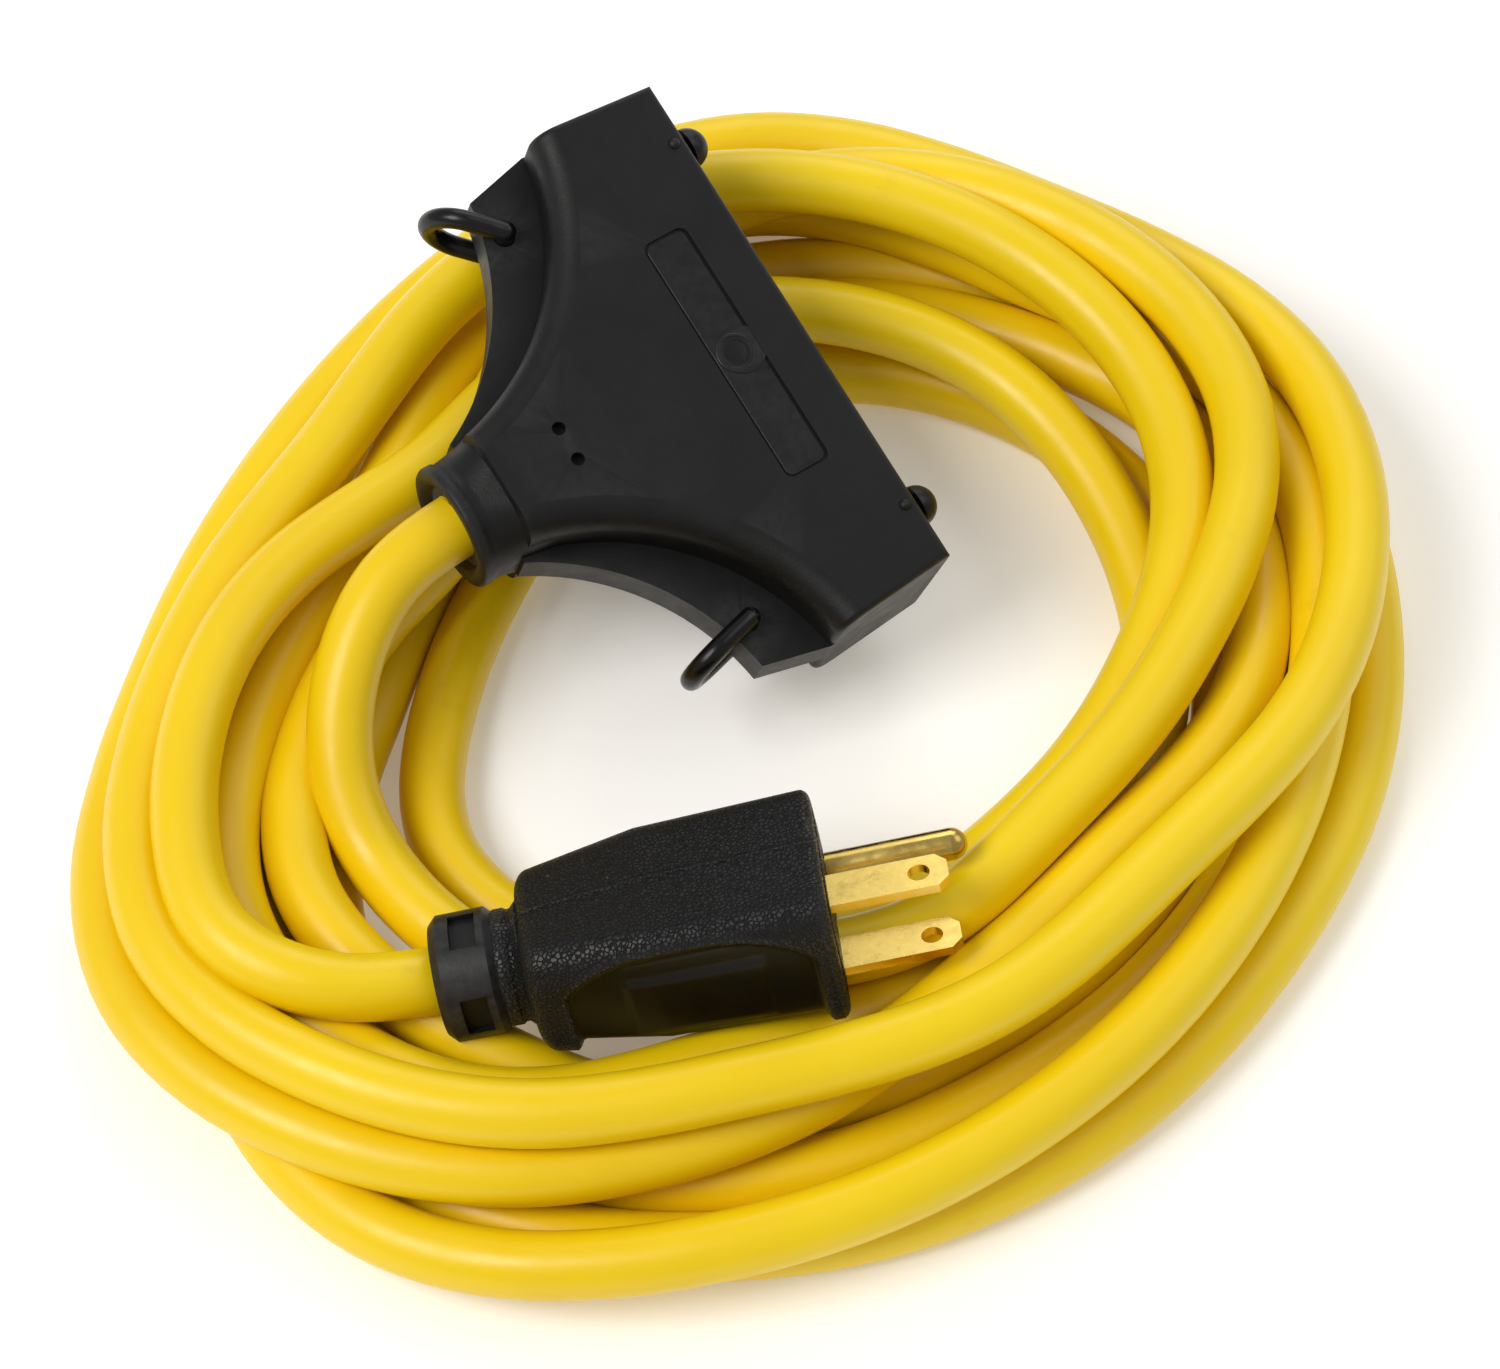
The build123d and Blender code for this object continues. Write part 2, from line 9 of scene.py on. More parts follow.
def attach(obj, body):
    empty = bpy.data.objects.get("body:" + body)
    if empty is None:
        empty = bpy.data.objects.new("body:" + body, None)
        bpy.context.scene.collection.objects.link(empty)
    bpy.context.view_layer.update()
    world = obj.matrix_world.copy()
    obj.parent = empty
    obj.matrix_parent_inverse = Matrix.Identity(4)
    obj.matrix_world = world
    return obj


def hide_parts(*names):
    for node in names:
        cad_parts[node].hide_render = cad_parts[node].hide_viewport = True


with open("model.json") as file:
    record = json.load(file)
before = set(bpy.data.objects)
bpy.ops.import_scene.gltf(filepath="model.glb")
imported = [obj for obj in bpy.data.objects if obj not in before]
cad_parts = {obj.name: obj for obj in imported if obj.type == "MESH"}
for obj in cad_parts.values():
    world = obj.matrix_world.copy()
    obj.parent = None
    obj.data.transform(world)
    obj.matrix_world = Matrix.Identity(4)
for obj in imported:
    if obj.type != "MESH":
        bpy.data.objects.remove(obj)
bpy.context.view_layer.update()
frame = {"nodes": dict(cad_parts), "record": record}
MM = 0.001

# ---------------------------------------------------------------- driving sizes, in millimetres
CORD_D = 10.0
LAYER = 0.87 * CORD_D              # rise of a strand that lies in the groove between two others

# ---------------------------------------------------------------- the camera
TARGET = Vector((0.76, 0.44, 10.70)) * MM
ELEVATION = math.radians(58.0)
DISTANCE = 750.0 * MM
LENS = 118.8
CLIP_START = 0.01


def make_camera():
    """A long lens in front of the coil, looking down at it."""
    camera = bpy.data.objects.new("camera", bpy.data.cameras.new("camera"))
    bpy.context.scene.collection.objects.link(camera)
    back = Vector((0.0, -math.cos(ELEVATION), math.sin(ELEVATION)))
    camera.location = TARGET + back * DISTANCE
    camera.rotation_euler = (math.radians(90.0) - ELEVATION, 0.0, 0.0)
    camera.data.lens = LENS
    camera.data.clip_start = CLIP_START
    bpy.context.scene.camera = camera


# ---------------------------------------------------------------- the stage, in metres and watts
FLOOR_HALF = 3.0
FLOOR_SHADE = (0.98, 0.98, 0.98, 1)
FLOOR_ROUGHNESS = 0.9
FLOOR_GLOW = 0.14                  # a little light of its own, so that the floor stays near white
WORLD_GLOW = 0.42
WHITE = (1, 1, 1, 1)
LIGHTS = {                         # place, size, power and colour
    "key": ((-0.55, -0.30, 0.85), 0.5, 6.6, (1.0, 0.98, 0.95)),
    "fill": ((0.75, 0.25, 0.75), 0.7, 1.6, (1.0, 1.0, 1.0)),
    "back": ((0.1, 0.9, 0.7), 0.7, 2.6, (1.0, 1.0, 1.0)),
}


def make_light(name, place, size, power, colour):
    """A square soft light aimed at the coil."""
    data = bpy.data.lights.new(name, "AREA")
    data.shape = "SQUARE"
    data.size = size
    data.energy = power
    data.color = colour
    lamp = bpy.data.objects.new(name, data)
    lamp.location = place
    lamp.rotation_euler = (Vector((0, 0, 0)) - Vector(place)).to_track_quat("-Z", "Y").to_euler()
    bpy.context.scene.collection.objects.link(lamp)


def make_stage():
    """A pale floor, soft lights and an even white surrounding."""
    mesh = bpy.data.meshes.new("floor")
    corners = [(FLOOR_HALF * x, FLOOR_HALF * y, 0) for x, y in ((-1, -1), (1, -1), (1, 1), (-1, 1))]
    mesh.from_pydata(corners, [], [(0, 1, 2, 3)])
    floor = bpy.data.objects.new("floor", mesh)
    bpy.context.scene.collection.objects.link(floor)
    material = bpy.data.materials.new("floor")
    material.use_nodes = True
    shader = material.node_tree.nodes["Principled BSDF"]
    shader.inputs["Base Color"].default_value = FLOOR_SHADE
    shader.inputs["Roughness"].default_value = FLOOR_ROUGHNESS
    shader.inputs["Emission Color"].default_value = WHITE
    shader.inputs["Emission Strength"].default_value = FLOOR_GLOW
    mesh.materials.append(material)
    for name, (place, size, power, colour) in LIGHTS.items():
        make_light(name, place, size, power, colour)
    world = bpy.data.worlds.new("world")
    world.use_nodes = True
    background = world.node_tree.nodes["Background"]
    background.inputs["Color"].default_value = WHITE
    background.inputs["Strength"].default_value = WORLD_GLOW
    bpy.context.scene.world = world
    bpy.context.scene.view_settings.view_transform = "Standard"


# ---------------------------------------------------------------- the cord's route
# The turns lie in up to three layers and cross over each other.  Each turn starts on the coil's left and
# goes round counter-clockwise.  Its stations are 30 degrees apart: the radius in millimetres from the coil's
# middle, and the layer it lies in, from 0 on the floor to 2 on top.
FIRST_STATION = 1                  # the first turn takes over from the block's lead at 210 degrees
TURNS = [
    [
        (56, 2), (63, 0.7), (60.5, 0), (51, 0), (53.5, 0.7), (54, 0.8),
        (66, 1.7), (88, 2), (91.5, 1.9), (86, 1), (68, 1.2), (51, 1),
    ],
    [
        (62, 1), (75.5, 0.9), (72.5, 0), (70, 0), (67, 0), (68, 0),
        (73.5, 0), (72.5, 0), (68.5, 0), (61, 0), (51, 0), (45, 0),
    ],
    [
        (46, 0), (52, 0), (49.5, 0), (43, 0), (44.5, 0), (48.5, 0),
        (60, 0.8), (77, 1.2), (84.5, 2), (83.5, 2), (80, 1.7), (73, 1),
    ],
    [
        (83.5, 1), (98, 1), (89.5, 1.5), (74.5, 1.7), (71.5, 1.7), (72.5, 1.3),
        (89, 1.8), (101, 1), (97, 0.9), (98.5, 1), (86, 1), (82, 0),
    ],
    [
        (88.5, 0), (105, 0), (95.5, 0.9), (76.5, 1), (62.5, 1), (62, 1),
        (77.5, 1), (87, 0.4), (80, 0.6), (73, 0.2), (62, 0), (55, 0),
    ],
    [
        (56.5, 0), (71.5, 0), (83, 0), (80.5, 0.1), (75.5, 0.7), (78, 0),
        (84.5, 0), (92, 0), (89.5, 0), (82, 0), (72.5, 0), (64.5, 0),
    ],
    [
        (67, 0), (82, 0), (93.5, 0), (91, 0), (88.5, 0), (88.5, 0),
        (95.5, 0), (102, 0), (100.5, 0), (101, 0), (86, 0), (74.5, 0),
    ],
    [
        (77.5, 0), (92.5, 0), (104, 0), (94, 1), (85.5, 1), (83, 1),
        (86.5, 1), (92, 1), (86, 1), (91.5, 0.3), (78.5, 0.9), (64.5, 1),
    ],
    [
        (70, 1), (86, 1), (83.5, 1), (64, 0.8), (57, 0.2), (58.5, 0),
        (63, 0), (65.5, 1), (68, 1), (65, 1), (60, 1.6), (57, 2),
    ],
    [(77, 2), (91.5, 2)],
]
TURN_START = 180.0
STATION_STEP = 30.0
STATIONS_PER_TURN = 12
POINTS_PER_STATION = 3             # of the cord's curve
POINTS_PER_TURN = STATIONS_PER_TURN * POINTS_PER_STATION
HEIGHT_AT_ENDS = (12.6, 25.2)      # of the first and the last point, where the leads take over
# The free stretches at the two ends, in millimetres: from where the cord leaves the block down to the turns,
# and from the turns to where it goes into the plug's collar.
BLOCK_LEAD = [
    (-43.1, 13.9, 33.7),
    (-50.0, 8.8, 33.4),
    (-55.4, 1.8, 31.2),
    (-58.9, -6.4, 27.2),
    (-60.3, -15.0, 22.0),
    (-59.0, -23.6, 16.6),
]
PLUG_LEAD = [
    (-72.6, -54.2, 25.2),
    (-63.0, -58.6, 24.6),
    (-53.0, -58.2, 21.8),
    (-43.5, -54.9, 18.9),
]
SIDE_STEPS, CURVE_STEPS = 8, 5     # how finely the cord's round and its length are divided

# How the turns settle on each other.  Each step pushes apart the strands that are too near, draws them back
# towards their radii given above, and lets them sink to the floor or to what lies under them.
SETTLE_STEPS = 700
SINK_STEPS = 550                   # the last steps only push apart
SINK = 0.12
GAP = CORD_D * 1.02                # from one strand's middle to the next one's
PUSH = 0.8                         # share of the missing distance that a step makes good
SIDEWAYS = 0.7                     # strands give way less sideways than upwards
PULL_BACK = 0.06
SMOOTH_RADIUS, SMOOTH_HEIGHT = 0.25, 0.30
TINY = 1e-6                        # keeps the push defined where two strands meet exactly


def smooth_value(values, at):
    """A Catmull-Rom curve through evenly spaced values."""
    i = min(int(at), len(values) - 2)
    t = at - i
    p0, p1 = values[max(i - 1, 0)], values[i]
    p2, p3 = values[i + 1], values[min(i + 2, len(values) - 1)]
    square = 2 * p0 - 5 * p1 + 4 * p2 - p3
    cube = 3 * p1 - p0 - 3 * p2 + p3
    return 0.5 * (2 * p1 + (p2 - p0) * t + square * t**2 + cube * t**3)


def settled_turns():
    """The coil's points, pushed apart and let down until the strands rest on each other."""
    stations = [place for turn in TURNS for place in turn][FIRST_STATION:]
    count = (len(stations) - 1) * POINTS_PER_STATION + 1
    at = [k / POINTS_PER_STATION for k in range(count)]
    wanted = np.array([smooth_value([s[0] for s in stations], a) for a in at])
    layer = np.array([smooth_value([float(s[1]) for s in stations], a) for a in at])
    radius = wanted.copy()
    lowest = CORD_D / 2
    height = lowest + LAYER * np.maximum(layer, 0)
    for step in range(SETTLE_STEPS):
        shift_r = np.zeros(count)
        shift_z = np.zeros(count)
        for turns_apart in range(1, len(TURNS)):
            lag = turns_apart * POINTS_PER_TURN
            dr = radius[lag:] - radius[:-lag]
            dz = height[lag:] - height[:-lag]
            away = np.hypot(dr, dz) + TINY
            push = np.maximum(GAP - away, 0) / 2 * PUSH
            shift_r[lag:] += push * dr / away
            shift_r[:-lag] -= push * dr / away
            shift_z[lag:] += push * dz / away
            shift_z[:-lag] -= push * dz / away
        radius += shift_r * SIDEWAYS
        height += shift_z
        if step < SINK_STEPS:
            height -= SINK
        radius += PULL_BACK * (wanted - radius)
        moved = radius - wanted
        radius[1:-1] += SMOOTH_RADIUS * ((moved[:-2] + moved[2:]) / 2 - moved[1:-1])
        height[1:-1] += SMOOTH_HEIGHT * ((height[:-2] + height[2:]) / 2 - height[1:-1])
        height = np.maximum(height, lowest)
        radius[[0, -1]] = wanted[[0, -1]]
        height[[0, -1]] = HEIGHT_AT_ENDS
    start = TURN_START + FIRST_STATION * STATION_STEP
    angle = np.radians(start + np.arange(count) * 360.0 / POINTS_PER_TURN)
    return np.column_stack([radius * np.cos(angle), radius * np.sin(angle), height])


def make_cord():
    """The whole cord as one curve: the block's lead, the turns, and the plug's lead."""
    points = [*BLOCK_LEAD, *settled_turns().tolist(), *PLUG_LEAD]
    curve = bpy.data.curves.new("cord", "CURVE")
    curve.dimensions = "3D"
    curve.bevel_depth = CORD_D / 2 * MM
    curve.bevel_resolution = SIDE_STEPS
    curve.resolution_u = CURVE_STEPS
    curve.use_fill_caps = True
    spline = curve.splines.new("NURBS")
    spline.points.add(len(points) - 1)
    for point, place in zip(spline.points, points):
        point.co = (place[0] * MM, place[1] * MM, place[2] * MM, 1.0)
    spline.order_u = 3
    spline.use_endpoint_u = True
    cord = bpy.data.objects.new("cord", curve)
    bpy.context.scene.collection.objects.link(cord)
    return cord


# ---------------------------------------------------------------- materials
# Noise scales are features per metre, bump depths are millimetres, and colours are linear.
NOISE_LOW, NOISE_HIGH = 0.3, 0.7   # most of a noise's values lie between these
BRUSHED = (0.08, 1, 1)             # noise drawn out into lines along X


class Graph:
    """A material's nodes, with the few shapes of them that the finishes share."""

    def __init__(self, name):
        self.material = bpy.data.materials.new(name)
        self.material.use_nodes = True
        self.tree = self.material.node_tree
        self.shader = self.tree.nodes["Principled BSDF"]
        self.place = self.add("ShaderNodeTexCoord").outputs["Object"]

    def add(self, kind, **settings):
        """A new node with its settings."""
        node = self.tree.nodes.new(kind)
        for key, value in settings.items():
            setattr(node, key, value)
        return node

    def link(self, source, target):
        """One socket wired to another."""
        self.tree.links.new(source, target)

    def noise(self, scale, detail=4.0, roughness=0.5, stretch=(1, 1, 1)):
        """Noise with its features per metre, stretched along an axis where that is below one."""
        mapping = self.add("ShaderNodeMapping")
        mapping.inputs["Scale"].default_value = stretch
        self.link(self.place, mapping.inputs["Vector"])
        noise = self.add("ShaderNodeTexNoise")
        noise.inputs["Scale"].default_value = scale
        noise.inputs["Detail"].default_value = detail
        noise.inputs["Roughness"].default_value = roughness
        self.link(mapping.outputs["Vector"], noise.inputs["Vector"])
        return noise.outputs["Fac"]

    def cells(self, scale):
        """Cells like those of leather grain: the distance to the nearest edge of one."""
        cells = self.add("ShaderNodeTexVoronoi", feature="DISTANCE_TO_EDGE")
        cells.inputs["Scale"].default_value = scale
        self.link(self.place, cells.inputs["Vector"])
        return cells.outputs["Distance"]

    def ramp(self, source, first, last):
        """A colour ramp between two stops, each a position and a colour."""
        ramp = self.add("ShaderNodeValToRGB")
        for element, (position, colour) in zip(ramp.color_ramp.elements, (first, last)):
            element.position = position
            element.color = (*colour, 1)
        self.link(source, ramp.inputs["Fac"])
        return ramp.outputs["Color"]

    def span(self, source, low, high, to_low, to_high):
        """One range of values spread over another."""
        node = self.add("ShaderNodeMapRange")
        limits = {"From Min": low, "From Max": high, "To Min": to_low, "To Max": to_high}
        for key, value in limits.items():
            node.inputs[key].default_value = value
        self.link(source, node.inputs["Value"])
        return node.outputs["Result"]

    def vary(self, noise, low, high):
        """A noise spread over a range, such as a roughness."""
        return self.span(noise, NOISE_LOW, NOISE_HIGH, low, high)

    def mix(self, factor, first, second):
        """Two colours mixed by a factor."""
        node = self.add("ShaderNodeMix", data_type="RGBA")
        self.link(factor, node.inputs["Factor"])
        self.link(first, node.inputs["A"])
        self.link(second, node.inputs["B"])
        return node.outputs["Result"]

    def edge_wear(self, low, high):
        """One on the worn outer edges, zero elsewhere."""
        pointiness = self.add("ShaderNodeNewGeometry").outputs["Pointiness"]
        return self.span(pointiness, low, high, 0.0, 1.0)

    def bump(self, *layers):
        """Bump layers of (height, strength, depth in millimetres), one on the other."""
        normal = None
        for height, strength, depth in layers:
            node = self.add("ShaderNodeBump")
            node.inputs["Strength"].default_value = strength
            node.inputs["Distance"].default_value = depth * MM
            self.link(height, node.inputs["Height"])
            if normal is not None:
                self.link(normal, node.inputs["Normal"])
            normal = node.outputs["Normal"]
        self.link(normal, self.shader.inputs["Normal"])

    def set(self, **values):
        """Constants on the shader's own sockets, with underscores for the spaces in their names."""
        for key, value in values.items():
            self.shader.inputs[key.replace("_", " ")].default_value = value


def cord_yellow():
    """Semi-gloss yellow vinyl, slightly wavy, with a few scuffs and darker handling marks."""
    g = Graph("cord_yellow")
    soft = g.noise(14, 3)
    grime = g.noise(60, 6, 0.65)
    base = g.ramp(soft, (NOISE_LOW, (0.83, 0.555, 0.0008)), (NOISE_HIGH, (0.93, 0.665, 0.003)))
    marks = g.ramp(grime, (0.62, (0.86, 0.60, 0.003)), (0.78, (0.60, 0.41, 0.01)))
    g.link(g.mix(g.span(grime, 0.60, 0.74, 0.0, 0.5), base, marks), g.shader.inputs["Base Color"])
    g.link(g.vary(g.noise(190, 5), 0.30, 0.46), g.shader.inputs["Roughness"])
    g.bump((g.noise(2600, 3), 0.12, 0.05), (g.noise(110, 3), 0.25, 0.35), (g.noise(900, 5, 0.6), 0.1, 0.1))
    g.set(Specular_IOR_Level=0.4, Coat_Weight=0.08, Coat_Roughness=0.3)
    g.set(Subsurface_Weight=0.03, Subsurface_Scale=0.002)
    return g.material


def moulded_black(name, roughness, grain, depth, tone, wear):
    """Moulded black plastic: fine spark-eroded grain, pale rubbed edges and a little dust."""
    g = Graph(name)
    dust = g.noise(45, 7, 0.6)
    dark = g.ramp(dust, (0.35, (tone, tone, tone)), (0.75, (tone * 1.9, tone * 1.9, tone * 2.0)))
    rubbed = g.ramp(g.noise(700, 5), (NOISE_LOW, (wear * 0.6,) * 3), (NOISE_HIGH, (wear * 1.4,) * 3))
    g.link(g.mix(g.edge_wear(0.52, 0.60), dark, rubbed), g.shader.inputs["Base Color"])
    rough = g.vary(g.noise(260, 6, 0.6), roughness - 0.07, roughness + 0.09)
    g.link(rough, g.shader.inputs["Roughness"])
    g.bump((g.noise(grain, 6, 0.6), 0.45, depth), (g.noise(90, 3), 0.2, 0.15))
    g.set(Specular_IOR_Level=0.3)
    return g.material


def leather_black():
    """The plug's soft vinyl, moulded with a coarse leather grain."""
    g = Graph("plug_black")
    cells = g.cells(1500)
    tone = g.noise(70, 5)
    dark = g.ramp(tone, (NOISE_LOW, (0.003, 0.003, 0.003)), (NOISE_HIGH, (0.007, 0.007, 0.008)))
    tops = g.ramp(tone, (NOISE_LOW, (0.022, 0.022, 0.023)), (NOISE_HIGH, (0.042, 0.042, 0.043)))
    g.link(g.mix(g.edge_wear(0.51, 0.58), dark, tops), g.shader.inputs["Base Color"])
    g.link(g.span(cells, 0.0, 0.25, 0.6, 0.36), g.shader.inputs["Roughness"])
    grain = g.span(cells, 0.0, 0.16, 0.0, 1.0)
    g.bump((grain, 1.0, 0.4), (g.noise(2300, 5, 0.65), 0.5, 0.12), (tone, 0.3, 0.3))
    g.set(Specular_IOR_Level=0.35)
    return g.material


def metal(name, light, dark, roughness):
    """Stamped metal with brushing lines, tarnish and bright rubbed edges."""
    g = Graph(name)
    tarnish = g.noise(120, 6, 0.65)
    body = g.ramp(tarnish, (0.32, dark), (0.62, light))
    bright = g.ramp(tarnish, (0.0, light), (1.0, tuple(min(1.0, c * 1.15) for c in light)))
    g.link(g.mix(g.edge_wear(0.52, 0.6), body, bright), g.shader.inputs["Base Color"])
    rough = g.vary(g.noise(400, 6), roughness - 0.08, roughness + 0.12)
    g.link(rough, g.shader.inputs["Roughness"])
    g.bump((g.noise(3200, 3, 0.5, BRUSHED), 0.18, 0.05), (tarnish, 0.15, 0.1))
    g.set(Metallic=1.0)
    return g.material


def insulation(name, colour):
    """Drawn wire insulation, slightly uneven in colour and lightly scuffed along its length."""
    g = Graph(name)
    shade = tuple(c * 0.7 for c in colour)
    g.link(g.ramp(g.noise(180, 5), (0.3, shade), (0.6, colour)), g.shader.inputs["Base Color"])
    g.link(g.vary(g.noise(500, 4), 0.32, 0.5), g.shader.inputs["Roughness"])
    g.bump((g.noise(1500, 4), 0.2, 0.06))
    return g.material


MOULDED = {                        # roughness, grain per metre and its depth, tone, tone of worn edges
    "block_black": (0.46, 2600, 0.10, 0.0035, 0.02),
    "insulator": (0.42, 2000, 0.05, 0.03, 0.09),
    "peg_black": (0.36, 1800, 0.05, 0.003, 0.03),
    "loop_black": (0.26, 1600, 0.04, 0.003, 0.03),
    "grommet_rubber": (0.62, 2400, 0.08, 0.014, 0.04),
    "smooth_black": (0.34, 1500, 0.04, 0.0025, 0.02),
    "collar_black": (0.46, 2200, 0.08, 0.004, 0.03),
}
METALS = {                         # bright colour, tarnished colour, roughness
    "contact_brass": ((0.78, 0.56, 0.24), (0.45, 0.30, 0.12), 0.34),
    "blade_brass": ((0.76, 0.55, 0.15), (0.36, 0.24, 0.06), 0.2),
    "screw_steel": ((0.62, 0.61, 0.59), (0.34, 0.33, 0.32), 0.30),
}
WIRES = {
    "wire_black": (0.02, 0.02, 0.02),
    "wire_white": (0.78, 0.77, 0.72),
    "wire_green": (0.02, 0.24, 0.07),
}
FINISHES = {"cord_yellow": cord_yellow(), "plug_black": leather_black()}
FINISHES |= {name: moulded_black(name, *values) for name, values in MOULDED.items()}
FINISHES |= {name: metal(name, *values) for name, values in METALS.items()}
FINISHES |= {name: insulation(name, colour) for name, colour in WIRES.items()}
SLOT_OF = {row["node"]: row["material_slot"] for row in frame["record"]["subparts"]}


def finish_nodes():
    """Every CAD piece that stays on show takes its slot's finish."""
    for name, node in frame["nodes"].items():
        material = FINISHES["collar_black" if name == "plug_collar" else SLOT_OF[name]]
        if not node.data.materials:
            node.data.materials.append(material)
        for slot in node.material_slots:
            slot.material = material


# ---------------------------------------------------------------- where the block and the plug stand
def placed(at, yaw, pitch, roll):
    """The matrix from millimetres in a piece's own frame to the shared frame: heading, nose up, then roll."""
    cy, sy = math.cos(math.radians(yaw)), math.sin(math.radians(yaw))
    cp, sp = math.cos(math.radians(pitch)), math.sin(math.radians(pitch))
    forward = Vector((cy * cp, sy * cp, sp))
    side = Vector((-sy, cy, 0))
    up = forward.cross(side)
    z_axis = up * math.cos(math.radians(roll)) - side * math.sin(math.radians(roll))
    y_axis = z_axis.cross(forward)
    turn = Matrix((forward, y_axis, z_axis)).transposed().to_4x4()
    return Matrix.Translation(Vector(at) * MM) @ turn @ Matrix.Scale(MM, 4)


BLOCK = placed(at=(8.2, 43.4, 46.0), yaw=34.0, pitch=0.0, roll=19.0)
PLUG = placed(at=(12.3, -46.6, 27.0), yaw=8.5, pitch=8.1, roll=-17.0)


def keep_piece(name, mesh, matrix, materials, body):
    """A mesh in millimetres in the block's or the plug's frame becomes a piece in the shared frame."""
    mesh.transform(matrix)
    for material in materials:
        mesh.materials.append(material)
    piece = bpy.data.objects.new(name, mesh)
    bpy.context.scene.collection.objects.link(piece)
    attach(piece, body)
    return piece


def ring_mesh(name, rings, material_of=None):
    """A closed skin over rings of equally many points, with a flat cap at each end."""
    count = len(rings[0])
    points = [p for ring in rings for p in ring]
    faces = []
    for i in range(len(rings) - 1):
        for j in range(count):
            k = (j + 1) % count
            faces.append((i * count + j, i * count + k, (i + 1) * count + k, (i + 1) * count + j))
    faces.append(tuple(range(count))[::-1])
    faces.append(tuple((len(rings) - 1) * count + j for j in range(count)))
    mesh = bpy.data.meshes.new(name)
    mesh.from_pydata(points, [], faces)
    mesh.update()
    shell = bmesh.new()
    shell.from_mesh(mesh)
    bmesh.ops.recalc_face_normals(shell, faces=shell.faces)
    shell.to_mesh(mesh)
    shell.free()
    for face in mesh.polygons:
        face.use_smooth = len(face.vertices) == 4
        if material_of is not None and len(face.vertices) == 4:
            face.material_index = material_of(face.center)
    return mesh


# ---------------------------------------------------------------- the plug's body
PLUG_STATIONS = [(-44.5, 11.5, 10.0), (-26.0, 14.0, 12.0), (0.0, 14.5, 12.5)]   # X, half height, half width
PLUG_CORNER = 5.5
FRONT_ROUND, BACK_ROUND = 1.4, 2.2
GRIP_X = (-39.5, -2.5)             # the smooth grip panel, along the plug
GRIP_Z = (-14.0, 9.5)              # and across it, from the underside up
GRIP_DEEP, GRIP_EDGE = 1.7, 1.3
GRIP_DIP = 6.5                     # how far the panel's upper edge drops at its two ends
GRIP_SIDE = (2.0, 8.0)             # the panel deepens between these distances from the middle
INLAY_X, INLAY_Z, INLAY_RISE = (-31.0, -10.0), (-7.5, 4.0), 0.5
INLAY_EDGE = 0.8
INLAY_SIDE = (6.0, 9.0)
SMOOTH_FROM = 8.5                  # faces further out than this in the panel take the smooth finish
SMOOTH_INSET_X, SMOOTH_INSET_Z = 0.5, 0.4
SEAM_HALF, SEAM_RISE = 0.45, 0.22
# The round neck between the body and the collar: X and radius, from the collar to the body.
PLUG_NECK = [
    (-48.4, 5.3), (-48.4, 8.0), (-48.1, 8.3), (-46.6, 8.3),
    (-46.2, 8.0), (-45.6, 8.0), (-44.9, 8.7), (-44.6, 9.0),
]
NECK_FLAT = 0.6                    # half the flat that is left between two of the neck's quarter rounds
PLUG_STEP = 0.5
CLOSER_AT_BACK = (0.06, 0.2)       # more rings where the two ends round over
CLOSER_AT_FRONT = (0.05, 0.18, 0.3)
# The rim round the front face and the face in it: X and how far in from the outline.
FRONT_RIM = [(0.0, 0.8), (-0.4, 1.2), (-0.45, 2.0), (0.15, 2.5), (0.2, 3.2)]
STEPS_FLAT, STEPS_CORNER = 16, 12  # faces along a ring's sides and round its corners


def smooth_step(value, low, high):
    """Zero below low, one above high, and a smooth rise between."""
    t = min(max((value - low) / (high - low), 0.0), 1.0)
    return t * t * (3 - 2 * t)


def inside(value, limits, edge):
    """One inside the limits, zero outside, with soft edges."""
    rise = smooth_step(value, limits[0], limits[0] + edge)
    return rise * (1 - smooth_step(value, limits[1] - edge, limits[1]))


def plug_half_sizes(x):
    """The plug's half height and half width at X, with its two ends rounded over."""
    for (x0, h0, w0), (x1, h1, w1) in zip(PLUG_STATIONS, PLUG_STATIONS[1:]):
        if x <= x1:
            break
    t = (x - x0) / (x1 - x0)
    inset = 0.0
    for gap, size in ((-x, FRONT_ROUND), (x - PLUG_STATIONS[0][0], BACK_ROUND)):
        if gap < size:
            inset = size - math.sqrt(max(size**2 - (size - gap) ** 2, 0.0))
    return h0 + (h1 - h0) * t - inset, w0 + (w1 - w0) * t - inset


def grip_top(x):
    """The grip panel's upper edge dips towards both of its ends."""
    middle = (GRIP_X[0] + GRIP_X[1]) / 2
    half = (GRIP_X[1] - GRIP_X[0]) / 2
    return GRIP_Z[1] - GRIP_DIP * abs((x - middle) / half) ** 3


def plug_relief(x, y, z):
    """How far the surface stands out at a point: the sunk grip panel, its inlay and the moulding seam."""
    relief = 0.0
    if y < 0:
        panel = inside(x, GRIP_X, GRIP_EDGE) * inside(z, (GRIP_Z[0], grip_top(x)), GRIP_EDGE)
        inlay = inside(x, INLAY_X, INLAY_EDGE) * inside(z, INLAY_Z, INLAY_EDGE)
        relief -= GRIP_DEEP * panel * smooth_step(-y, *GRIP_SIDE)
        relief += INLAY_RISE * inlay * smooth_step(-y, *INLAY_SIDE)
    if abs(y) < SEAM_HALF:
        relief += SEAM_RISE * (1 - (y / SEAM_HALF) ** 2)
    return relief


def even_steps(half):
    """Evenly spaced places from minus half to half."""
    return [-half + 2 * half * i / STEPS_FLAT for i in range(STEPS_FLAT + 1)]


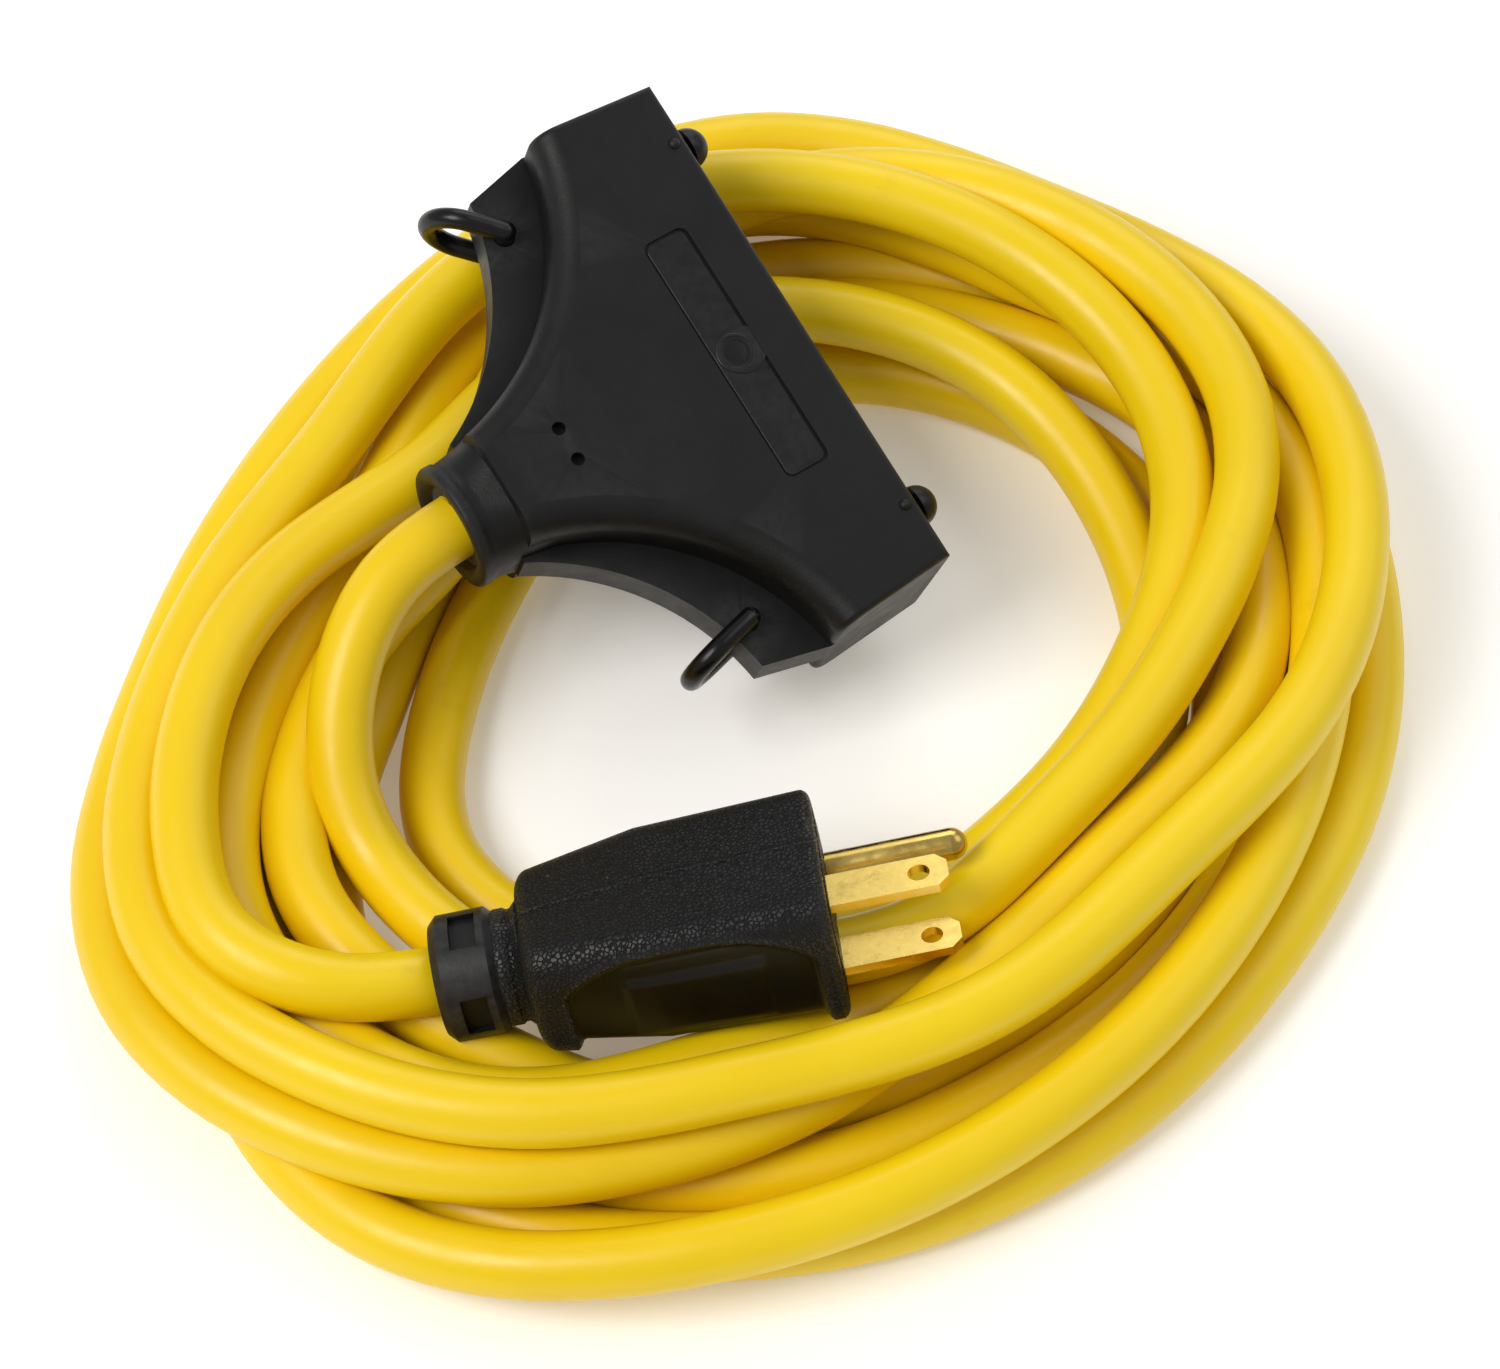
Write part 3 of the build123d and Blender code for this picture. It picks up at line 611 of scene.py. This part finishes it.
def rounded_ring(x, half_h, half_w, corner, relief=None):
    """A rounded rectangle of points across X, with the surface moved out by its relief."""
    flat_y, flat_z = half_h - corner, half_w - corner
    seam = [-SEAM_HALF, -SEAM_HALF / 2, 0.0, SEAM_HALF / 2, SEAM_HALF]
    along_y = sorted(set(even_steps(flat_y) + seam))
    along_z = even_steps(flat_z)
    sides = [((y, -half_w), (0, -1)) for y in along_y]
    sides += corner_points(flat_y, -flat_z, corner, -90)
    sides += [((half_h, z), (1, 0)) for z in along_z]
    sides += corner_points(flat_y, flat_z, corner, 0)
    sides += [((y, half_w), (0, 1)) for y in reversed(along_y)]
    sides += corner_points(-flat_y, flat_z, corner, 90)
    sides += [((-half_h, z), (-1, 0)) for z in reversed(along_z)]
    sides += corner_points(-flat_y, -flat_z, corner, 180)
    ring = []
    for (y, z), (ny, nz) in sides:
        rise = relief(x, y, z) if relief else 0.0
        ring.append((x, y + ny * rise, z + nz * rise))
    return ring


def corner_points(y, z, radius, start):
    """The points inside a quarter round, without its two ends."""
    points = []
    for i in range(1, STEPS_CORNER):
        turn = math.radians(start + 90.0 * i / STEPS_CORNER)
        normal = (math.cos(turn), math.sin(turn))
        points.append(((y + radius * normal[0], z + radius * normal[1]), normal))
    return points


def make_plug_body():
    """The moulded plug: leather-grained vinyl, a smooth sunk grip panel, and a rim round its front face."""
    length = -PLUG_STATIONS[0][0]
    xs = [-length + PLUG_STEP * i for i in range(int(length / PLUG_STEP) + 1)]
    xs += [-length + d for d in CLOSER_AT_BACK]
    xs += [-d for d in CLOSER_AT_FRONT]
    rings = []
    for x, radius in PLUG_NECK:
        rings.append(rounded_ring(x, radius, radius, radius - NECK_FLAT))
    for x in sorted(xs):
        half_h, half_w = plug_half_sizes(x)
        rings.append(rounded_ring(x, half_h, half_w, PLUG_CORNER, plug_relief))
    half_h, half_w = plug_half_sizes(0.0)
    for x, inset in FRONT_RIM:
        rings.append(rounded_ring(x, half_h - inset, half_w - inset, PLUG_CORNER - inset))
    mesh = ring_mesh("plug_body_skin", rings, in_grip)
    finishes = (FINISHES["plug_black"], FINISHES["smooth_black"])
    piece = keep_piece("plug_body_skin", mesh, PLUG, finishes, "block")
    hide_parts("plug_body")
    return piece


def in_grip(centre):
    """Which of the plug's two finishes a face takes."""
    x, y, z = centre
    on_side = y < -SMOOTH_FROM and z < grip_top(x) - SMOOTH_INSET_Z
    return int(on_side and GRIP_X[0] + SMOOTH_INSET_X < x < GRIP_X[1] - SMOOTH_INSET_X)


# ---------------------------------------------------------------- the block's neck
BLOCK_PARTING = -13.0
# The neck's outside, then its lip and its bore, as X, half width, half height and corner radius.
NECK_RINGS = [
    (-46.5, 10.8, 11.6, 5.5), (-48.5, 10.7, 11.7, 6.0), (-50.5, 10.4, 11.5, 6.8), (-52.5, 10.1, 11.1, 7.8),
    (-54.5, 9.8, 10.6, 8.8), (-56.5, 9.6, 10.1, 9.2), (-58.0, 9.5, 9.8, 9.3), (-58.3, 9.8, 10.1, 9.5),
    (-59.6, 9.8, 10.1, 9.5), (-60.0, 9.6, 9.9, 9.4), (-60.2, 9.1, 9.4, 8.9), (-60.1, 7.6, 7.9, 7.4),
    (-59.6, 6.9, 7.0, 6.7), (-58.0, 6.3, 6.3, 6.1),
]


def make_neck():
    """The housing's oval neck, drawn in smoothly to a rolled lip round the cord."""
    rings = [rounded_ring(x, half_w, half_h, corner) for x, half_w, half_h, corner in NECK_RINGS]
    mesh = ring_mesh("neck_shroud", rings[::-1])
    matrix = BLOCK @ Matrix.Translation((0, 0, BLOCK_PARTING))
    keep_piece("neck_shroud", mesh, matrix, (FINISHES["block_black"],), "block")


# ---------------------------------------------------------------- the block's label
LABEL_AT, LABEL_LONG, LABEL_WIDE = -11.5, 41.2, 6.8
LABEL_FLOOR, LABEL_FACE = -0.5, -0.22
LABEL_CORNER, LABEL_CORNER_STEPS = 1.2, 8
LABEL_RINGS = [(LABEL_FLOOR, 0.0), (LABEL_FACE - 0.1, 0.0), (LABEL_FACE, 0.12)]   # Z and inset
BADGE_R, BADGE_STEPS = 3.1, 64
# The badge's rings: share of its radius, and height over the label's face.
BADGE_RINGS = [(1.0, -0.1), (1.0, 0.12), (0.93, 0.2), (0.8, 0.2), (0.76, 0.1), (0.5, 0.22), (0.2, 0.3)]


def label_ring(z, inset):
    """The label's outline at a height, with rounded corners."""
    ring = []
    for side_x, side_y, start in ((1, 1, 0), (-1, 1, 90), (-1, -1, 180), (1, -1, 270)):
        corner_x = LABEL_AT + side_x * (LABEL_WIDE / 2 - LABEL_CORNER)
        corner_y = side_y * (LABEL_LONG / 2 - LABEL_CORNER)
        for i in range(LABEL_CORNER_STEPS + 1):
            turn = math.radians(start + 90 * i / LABEL_CORNER_STEPS)
            reach = LABEL_CORNER - inset
            ring.append((corner_x + reach * math.cos(turn), corner_y + reach * math.sin(turn), z))
    return ring


def badge_ring(share, rise):
    """A circle of the badge, at a share of its radius and a height over the label."""
    ring = []
    for i in range(BADGE_STEPS):
        turn = math.radians(360 * i / BADGE_STEPS)
        x = LABEL_AT + BADGE_R * share * math.cos(turn)
        ring.append((x, BADGE_R * share * math.sin(turn), LABEL_FACE + rise))
    return ring


def make_label():
    """A glossy blank label in the block's recess, and the plain round badge at its middle."""
    plate = ring_mesh("label_plate", [label_ring(z, inset) for z, inset in LABEL_RINGS])
    keep_piece("label_plate", plate, BLOCK, (FINISHES["smooth_black"],), "block")
    badge = ring_mesh("label_badge", [badge_ring(share, rise) for share, rise in BADGE_RINGS])
    keep_piece("label_badge", badge, BLOCK, (FINISHES["peg_black"],), "block")


# ---------------------------------------------------------------- everything in its place
make_camera()
make_stage()
cord = make_cord()
cord.data.materials.append(FINISHES["cord_yellow"])
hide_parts("coil", "block_lead", "plug_lead")
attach(cord, "block")
finish_nodes()
plug_skin = make_plug_body()
make_neck()
make_label()
not_on_cord = ("plug_lead", "plug_body")       # the cord and the plug's skin replace these
on_cord = [name for name in frame["nodes"] if name.startswith("plug_") and name not in not_on_cord]
on_cord += ["hot_blade", "neutral_blade", "ground_pin"]
